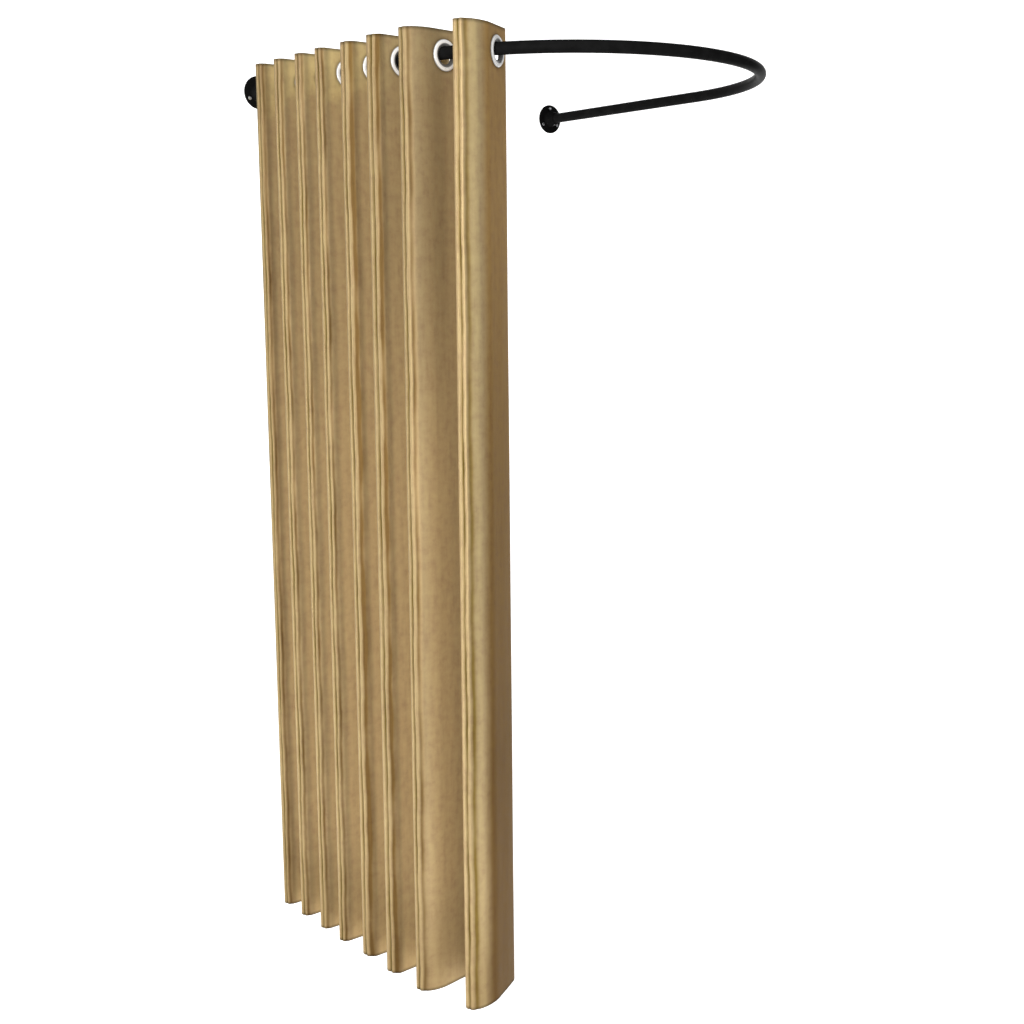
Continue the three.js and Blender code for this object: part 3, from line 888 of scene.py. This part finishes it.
def crest_painted_shading(arc, z, gap):
    """The painted shade and light of the satin round an outer crest: painted shade in the groove and
    the hollow beside it, painted light on the flank after them, painted shade that dims the crest, and
    painted shade on the near folds towards the top."""
    at, _, depth, hollow_at = crest_place(arc, z, gap)
    spread = np.where(at > hollow_at, of_fold(HOLLOW_FAR_BREADTHS, gap), HOLLOW_NEAR_BREADTH)
    hollow = np.minimum(bell(at, hollow_at, spread) * depth * of_fold(HOLLOW_SHARES, gap), 1)
    # Painted shade in the groove between the two ridges
    tint = shaded(1, bell(at, GROOVE_AT, GROOVE_SHADE_BREADTH) * depth, GROOVE_SHADE)
    if gap == LEADING_FOLD:
        return leading_painted_shading(tint, at, z, hollow)
    # Painted shade in the hollow after the ridges
    tint = shaded(tint, hollow, HOLLOW_SHADE)
    before_end = 1 - smooth_step(at, *FLANK_END)
    # Painted light on the flank after the hollow
    flank_light_mask = smooth_step(at, *FLANK_START) * before_end * of_fold(FLANK_SHARES, gap)
    tint = shaded(tint, flank_light_mask, -FLANK_LIGHT)
    # Painted shade that dims the crest
    crest = smooth_step(at, *CREST_START)
    tint = shaded(tint, crest * (1 - smooth_step(at, *CREST_END)), CREST_SHADE)
    # Painted shade on the near folds towards the top
    top = (TOP_NEAR_SHARE * crest + TOP_FLANK_SHARE * smooth_step(at, *TOP_FLANK_START)) * before_end
    tint = shaded(tint, top * (1 - smooth_step(-z, *TOP_FADE)), of_fold(TOP_SHADES, gap))
    if gap == WALL_FOLD:
        # Painted shade on the wall fold's edge and on its second ridge
        tint = shaded(tint, bell(at, 0, WALL_EDGE_BREADTH), WALL_EDGE_SHADE)
        ridge = smooth_step(at, *WALL_RIDGE_START) * (1 - smooth_step(at, *WALL_RIDGE_END))
        tint = shaded(tint, ridge, WALL_RIDGE_SHADE)
    return tint


def flared(xy, z):
    """The folds' plan at a height, drawn out a little from the rail towards the hem."""
    past_bend = np.minimum(xy[:, 1] + LEG_LENGTH, 0)
    spoke = np.stack([np.where(past_bend < 0, xy[:, 0] - BEND_RADIUS, -1), past_bend], 1)
    length = np.linalg.norm(spoke, axis=1)
    reach = np.where(past_bend < 0, length - BEND_RADIUS, -xy[:, 0])
    share = FLARE_SHARE * -z / (CLOTH_TOP - CLOTH_BOTTOM)
    return xy + (spoke / length[:, None] * reach[:, None]) * max(share, 0)


def heading_and_hem_painted_shading(plan_place, z, borders, crests):
    """Painted light on the heading, whose lower border slants up from each crest, painted shade on the
    cloth near the hem, and a painted soft shadow round each eyelet."""
    # Painted light on the heading, down to a border that slants up from each crest, less near the crests and
    # on the near folds
    nearest = np.abs(plan_place - crests[None, :]).min(1)[:, None]
    slant = HEADING_SLANT * (2 * smooth_step(nearest, *HEADING_SLANT_REACH) - 1)
    depth = np.interp(plan_place, crests, HEADING_DEPTHS)
    border = CLOTH_TOP - depth + slant + waves(plan_place, HEADING_WAVES)
    heading = smooth_step(z - border, *HEADING_BORDER)
    # Painted shade towards the hem, less near the crests, on the leading edge and on one flank
    low = 1 - smooth_step(z - CLOTH_BOTTOM, 0, HEM_FADE)
    for crest in crests:
        arc = crest - plan_place
        heading = heading * (1 - HEADING_BAND_SHARE * bell(arc, CREST_BAND_AT, HEADING_BAND_BREADTH))
        low = low * (1 - HEM_BAND_SHARE * bell(arc, CREST_BAND_AT, HEM_BAND_BREADTH))
    far = smooth_step(plan_place, crests[1], crests[4])
    heading = heading * (HEADING_NEAR_SHARE + (1 - HEADING_NEAR_SHARE) * far)
    past_lead = smooth_step(plan_place, crests[0] - LEAD_HEM_REACH[0], crests[0] - LEAD_HEM_REACH[1])
    low = low * (LEAD_HEM_SHARE + (1 - LEAD_HEM_SHARE) * past_lead)
    low = low * (1 - FLANK_HEM_SHARE * bell(crests[1] - plan_place, FLANK_HEM_AT, FLANK_HEM_BREADTH))
    # The painted light of the heading and the painted shade towards the hem
    tint = shaded(shaded(1, heading, -HEADING_LIGHT), low, HEM_SHADE)
    # A painted soft shadow round each eyelet
    for place in borders:
        away = np.maximum(np.hypot(plan_place - place, z + EYELET_HANG), EYELET_RADIUS)
        tint = shaded(tint, bell(away, EYELET_RADIUS, EYELET_SHADOW_BREADTH) * EYELET_SHADOW_SHARE, 1)
    return tint


def relief(xy, along, z, borders):
    """How far each point of the cloth stands off its plan, and the painted light and shade of its face and
    back.
    """
    flat_place = along[:, None]
    drifting = flat_place + WAVE_DRIFT * np.sin(2 * pi * z / WAVE_DRIFT_LENGTH)
    swell = SWELL_MEAN + SWELL_HEIGHT * np.sin(2 * pi * z / SWELL_LENGTH + SWELL_LEAN * flat_place)
    stand = waves(drifting, CLOTH_WAVES) * swell
    gaps = range(0, len(borders) - 1, 2)
    crests = []
    for gap in gaps:
        first, last = borders[gap], borders[gap + 1]
        crests.append(first + int(np.argmin(xy[first:last] @ CREST_SIDE)))
    # Painted light and shade: the back has the heading's, hem's and eyelets', and the face the crests' as
    # well
    back_painted_shading = heading_and_hem_painted_shading(flat_place, z, along[borders], along[crests])
    face_painted_shading = back_painted_shading
    for gap, crest in zip(gaps, crests):
        stand = stand + ripple(along[crest] - flat_place, z, gap)
        face_painted_shading = face_painted_shading * crest_painted_shading(along[crest] - flat_place, z, gap)
    held = np.zeros_like(stand)
    for border in borders:
        away = np.abs(flat_place - along[border]) - EYELET_RADIUS
        near = (1 - smooth_step(away, *HELD_REACH)) * smooth_step(z, -EYELET_ZONE - HELD_DROP, -EYELET_ZONE)
        held = np.maximum(held, near)
    return stand * (1 - held), np.stack([face_painted_shading, back_painted_shading])


def body_of(eyelet):
    """The body that an eyelet rides on, by its number from the leading edge."""
    return "root" if eyelet == ANCHOR_EYELET else f"eyelet_{eyelet:02d}"


def build_curtain(cloth):
    plan, borders = cloth_plan()
    rows = cloth_rows()
    z = rows[None, :]
    xy, heading = plan[:, :2], plan[:, 2]
    across = np.stack([-np.sin(heading), np.cos(heading)], 1)
    along = np.concatenate([[0], np.cumsum(np.linalg.norm(np.diff(xy, axis=0), axis=1))])
    stand, tint = relief(xy, along, z, borders)
    spots = np.empty((len(along), len(rows), 3))
    plans = np.stack([flared(xy, row) for row in rows], 1)
    spots[..., :2] = plans + stand[..., None] * across[:, None, :]
    spots[..., 2] = z
    normals = np.cross(np.gradient(spots, axis=1), np.gradient(spots, axis=0))
    normals /= np.linalg.norm(normals, axis=2, keepdims=True)
    normals *= np.sign((normals[..., :2] * across[:, None, :]).sum(2))[..., None]
    flat = np.zeros_like(spots)
    flat[..., 0] = along[:, None]
    flat[..., 1] = z - CLOTH_BOTTOM
    edges = [0, *borders, len(along) - 1]
    bodies = [body_of(k) for k in range(1, len(borders) + 1)]
    for k in range(len(edges) - 1):
        columns = slice(edges[k], edges[k + 1] + 1)
        first_hole = along[edges[k]] if k else None
        last_hole = along[edges[k + 1]] if k < len(borders) else None
        name = "leading_edge" if k == 0 else "wall_edge" if k == len(borders) else f"fold_{k:02d}"
        obj = cloth_strip(f"curtain_{name}", spots[columns], normals[columns], flat[columns],
                          tint[:, columns], first_hole, last_hole)
        obj.data.materials.append(cloth)
        if k == 0:
            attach(obj, bodies[0])
        elif k == len(borders):
            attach(obj, bodies[-1])
        else:
            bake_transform(obj)
        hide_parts("curtain_cloth")


def round_holes(spots, flat, open_face, holes):
    """Moves the points round the half holes at a strip's borders onto the holes' circles. Each hole
    is its place along the cloth, the column at the border and the next column in."""
    columns, rows = spots.shape[:2]
    touched = np.zeros((columns, rows), bool)
    touched[:-1, :-1] |= open_face
    touched[1:, :-1] |= open_face
    touched[:-1, 1:] |= open_face
    touched[1:, 1:] |= open_face
    hole_z = -EYELET_HANG - CLOTH_BOTTOM
    for hole, border, inner in holes:
        direction = spots[inner, 0] - spots[border, 0]
        direction /= np.linalg.norm(direction) * (1 if border == 0 else -1)
        for i, j in zip(*np.nonzero(touched)):
            du, dz = flat[i, j, 0] - hole, flat[i, j, 1] - hole_z
            away = hypot(du, dz)
            if abs(away - HOLE_RADIUS) > 2 * EYELET_ROW:
                continue
            scale = HOLE_RADIUS / away
            if i == border:
                du, dz = 0.0, (HOLE_RADIUS if dz > 0 else -HOLE_RADIUS)
                scale = 1
            spots[i, j] = spots[border, 0] + direction * du * scale
            spots[i, j, 2] = CLOTH_BOTTOM + hole_z + dz * scale
            flat[i, j, :2] = hole + du * scale, hole_z + dz * scale


def add_vectors(mesh, name, values):
    attribute = mesh.attributes.new(name, "FLOAT_VECTOR", "POINT")
    attribute.data.foreach_set("vector", values.ravel())


def cloth_strip(name, spots, normals, flat, tint, first_hole, last_hole):
    """A closed thin sheet over a grid of spots, less the half holes at its borders. Its face is on
    the side of the normals, and tint holds the painted light and shade of its face and of its back."""
    columns, rows = spots.shape[:2]
    spots, flat = spots.copy(), flat.copy()
    holes = [(first_hole, 0, 1), (last_hole, columns - 1, columns - 2)]
    holes = [hole for hole in holes if hole[0] is not None]
    keep = np.ones((columns - 1, rows - 1), bool)
    middle = (flat[:-1, :-1] + flat[1:, 1:]) / 2
    for hole, _, _ in holes:
        away = np.hypot(middle[..., 0] - hole, middle[..., 1] + EYELET_HANG + CLOTH_BOTTOM)
        keep &= away > HOLE_RADIUS
    round_holes(spots, flat, ~keep, holes)
    half = CLOTH_THICKNESS / 2
    index = np.arange(columns * rows).reshape(columns, rows)
    used = np.zeros(columns * rows, bool)
    front = np.stack([index[:-1, :-1], index[1:, :-1], index[1:, 1:], index[:-1, 1:]], 2)[keep]
    used[front.ravel()] = True
    new_index = np.cumsum(used) - 1
    kept = int(used.sum())
    points = spots.reshape(-1, 3)[used]
    turned_out = normals.reshape(-1, 3)[used]
    laid = flat.reshape(-1, 3)[used]
    shade = tint.reshape(2, -1, 3)[:, used]
    front = new_index[front]
    edge_count = {}
    for face in front:
        for p, q in zip(face, np.roll(face, -1)):
            key = (min(p, q), max(p, q))
            edge_count[key] = None if key in edge_count else (int(p), int(q))
    rims = [(q, p, p + kept, q + kept) for p, q in filter(None, edge_count.values())]
    faces = [tuple(map(int, f)) for f in front]
    faces += [tuple(int(v) + kept for v in reversed(f)) for f in front]
    faces += rims
    all_points = np.concatenate([points + half * turned_out, points - half * turned_out])
    mesh = bpy.data.meshes.new(name)
    mesh.from_pydata(all_points.tolist(), [], faces)
    mesh.shade_smooth()
    add_vectors(mesh, "cloth_place", np.concatenate([laid, laid]))
    # The painted light and shade of the face and of the back
    add_vectors(mesh, "cloth_painted_shading", shade)
    shading = np.zeros((len(mesh.loops), 3))
    corner = np.zeros(len(mesh.loops), int)
    mesh.loops.foreach_get("vertex_index", corner)
    both = np.concatenate([turned_out, -turned_out])
    sheet_corners = 8 * len(front)
    shading[:sheet_corners] = both[corner[:sheet_corners]]
    for polygon in mesh.polygons[2 * len(front):]:
        for loop in polygon.loop_indices:
            shading[loop] = polygon.normal
    mesh.normals_split_custom_set(shading.tolist())
    obj = bpy.data.objects.new(name, mesh)
    scene.collection.objects.link(obj)
    return obj


# Eyelets
def eyelet_front(name, place, axis):
    """The ring with the barrel. The small steps in the profile ease its corners."""
    rim = EYELET_SEAT + RIM_HEIGHT
    crown = EYELET_SEAT + FRONT_HEIGHT
    lip = EYELET_SEAT + LIP_HEIGHT
    barrel = EYELET_BORE + BARREL_WALL
    top = [
        (EYELET_RADIUS, EYELET_SEAT + 0.0003), (EYELET_RADIUS, rim - 0.0006), (EYELET_RADIUS - 0.0005, rim),
        ((EYELET_RADIUS + CROWN_RADIUS) / 2 + 0.0008, crown - 0.0005), (CROWN_RADIUS, crown),
        (CROWN_RADIUS - 0.002, crown - 0.0002), ((CROWN_RADIUS + EYELET_BORE) / 2 - 0.0006, lip + 0.0012),
        (EYELET_BORE + 0.0008, lip + 0.0002), (EYELET_BORE, lip - 0.0006),
    ]
    low = -EYELET_SEAT - BARREL_REACH
    profile = rounded([(EYELET_BORE, low), (barrel, low), (barrel, EYELET_SEAT),
                       (EYELET_RADIUS - 0.0003, EYELET_SEAT), *top, (EYELET_BORE, low + 0.0002)],
                      EYELET_EDGE, RING_ROUND_STEPS)
    return turned(name, profile, place, axis, RING_SEGMENTS, "ring_reach")


def eyelet_back(name, place, axis):
    """The ring that closes on the barrel's end."""
    inner = EYELET_BORE + BARREL_WALL + CLEARANCE
    rim = -EYELET_SEAT - RIM_HEIGHT
    crown = -EYELET_SEAT - BACK_HEIGHT
    profile = rounded([
        (inner, -EYELET_SEAT), (inner, -EYELET_SEAT - BARREL_REACH + 0.0004),
        (inner + 0.0012, -EYELET_SEAT - BARREL_REACH - 0.0001), (CROWN_RADIUS, crown),
        (EYELET_RADIUS - 0.001, rim - 0.0004), (EYELET_RADIUS, rim + 0.0005),
        (EYELET_RADIUS, -EYELET_SEAT - 0.0002), (EYELET_RADIUS - 0.0003, -EYELET_SEAT),
        (inner + 0.0002, -EYELET_SEAT),
    ], EYELET_EDGE, RING_ROUND_STEPS)
    return turned(name, profile, place, axis, RING_SEGMENTS, "ring_reach")


def build_eyelets(nickel):
    for k, (x, y, heading, _) in enumerate(eyelet_places(), 1):
        axis = (-sin(heading), cos(heading), 0)
        place = (x, y, -EYELET_HANG)
        for half, make in (("front", eyelet_front), ("back", eyelet_back)):
            ring = make(f"ring_{k:02d}_{half}", place, axis)
            finished(ring, nickel, body_of(k), "eyelet_metal", f"eyelet_{k:02d}_{half}")


# Stage, light and camera
def build_stage():
    """A white paper sweep, square to the camera: a floor under the object that curves up behind."""
    floor_z = CLOTH_BOTTOM - HEM_ABOVE_FLOOR
    half_width, near, far, height, bend = 3.6, -1.35, 3.6, 5.0, 1.5
    profile = [(near, floor_z), (far - bend, floor_z)]
    for i in range(1, STAGE_STEPS + 1):
        angle = pi / 2 * i / STAGE_STEPS
        profile.append((far - bend + bend * sin(angle), floor_z + bend - bend * cos(angle)))
    profile.append((far, floor_z + height))
    points = [(side * half_width, y, z) for y, z in profile for side in (-1, 1)]
    faces = [(2 * i, 2 * i + 1, 2 * i + 3, 2 * i + 2) for i in range(len(profile) - 1)]
    floor = new_object("studio_floor", points, faces, sharp=None)
    floor.data.transform(Matrix.Translation(STAGE_PLACE) @ Matrix.Rotation(-CAMERA_YAW, 4, "Z"))
    material, nodes, _ = new_material("studio_white")
    shader = nodes["Principled BSDF"]
    shader.inputs["Base Color"].default_value = (0.8, 0.8, 0.8, 1)
    shader.inputs["Roughness"].default_value = 0.9
    shader.inputs["Emission Color"].default_value = (1, 1, 1, 1)
    shader.inputs["Emission Strength"].default_value = 0.85
    floor.data.materials.append(material)


def area_light(name, place, target, size, power):
    data = bpy.data.lights.new(name, "AREA")
    data.shape = "RECTANGLE"
    data.size, data.size_y = size
    data.energy = power
    light = bpy.data.objects.new(name, data)
    light.location = place
    light.rotation_euler = (Vector(target) - Vector(place)).to_track_quat("-Z", "Y").to_euler()
    scene.collection.objects.link(light)


def build_light():
    middle = (0.0, -0.5, -0.95)
    area_light("left_key", (-2.9, 0.7, -0.7), middle, size=(0.9, 4.0), power=92)
    area_light("front_fill", (-2.8, -3.0, -0.4), middle, size=(1.8, 3.6), power=168)
    area_light("right_card", (3.2, -2.0, 0.0), (0.2, -0.8, 0.0), size=(1.6, 1.6), power=2)
    area_light("top_front", (-0.5, -2.4, 1.6), (0.0, -0.6, 0.0), size=(1.4, 0.6), power=18)
    world = bpy.data.worlds.new("studio")
    scene.world = world
    world.use_nodes = True
    background = world.node_tree.nodes["Background"]
    background.inputs["Color"].default_value = (1, 1, 1, 1)
    background.inputs["Strength"].default_value = 0.16
    scene.view_settings.view_transform = "Standard"


def build_camera():
    data = bpy.data.cameras.new("camera")
    data.sensor_width = 36
    data.lens = CAMERA_LENS
    camera = bpy.data.objects.new("camera", data)
    scene.collection.objects.link(camera)
    yaw, pitch, roll = CAMERA_YAW, CAMERA_PITCH, CAMERA_ROLL
    forward = Vector((sin(yaw) * cos(pitch), cos(yaw) * cos(pitch), -sin(pitch)))
    right = Vector((cos(yaw), -sin(yaw), 0))
    up = right.cross(forward)
    tilted_right = right * cos(roll) + up * sin(roll)
    tilted_up = up * cos(roll) - right * sin(roll)
    turn = Matrix((tilted_right, tilted_up, -forward)).transposed()
    camera.matrix_world = Matrix.Translation(CAMERA_PLACE) @ turn.to_4x4()
    scene.camera = camera


build_camera()
zinc = bare_metal("bright_zinc", (0.62, 0.63, 0.65), (0.5, 0.5, 0.51), 0.3, 900)
black = coated_metal("black_powder_coat", (0.006, 0.006, 0.006), (0.011, 0.011, 0.011), 0.34, 1400)
gloss = coated_metal("black_gloss", (0.005, 0.005, 0.005), (0.008, 0.008, 0.008), 0.3, 700)
nickel = ring_nickel()
build_rail(black, zinc)
build_flange("left", 0, gloss, zinc)
build_flange("right", RAIL_WIDTH, gloss, zinc)
build_curtain(satin())
build_eyelets(nickel)
build_stage()
build_light()
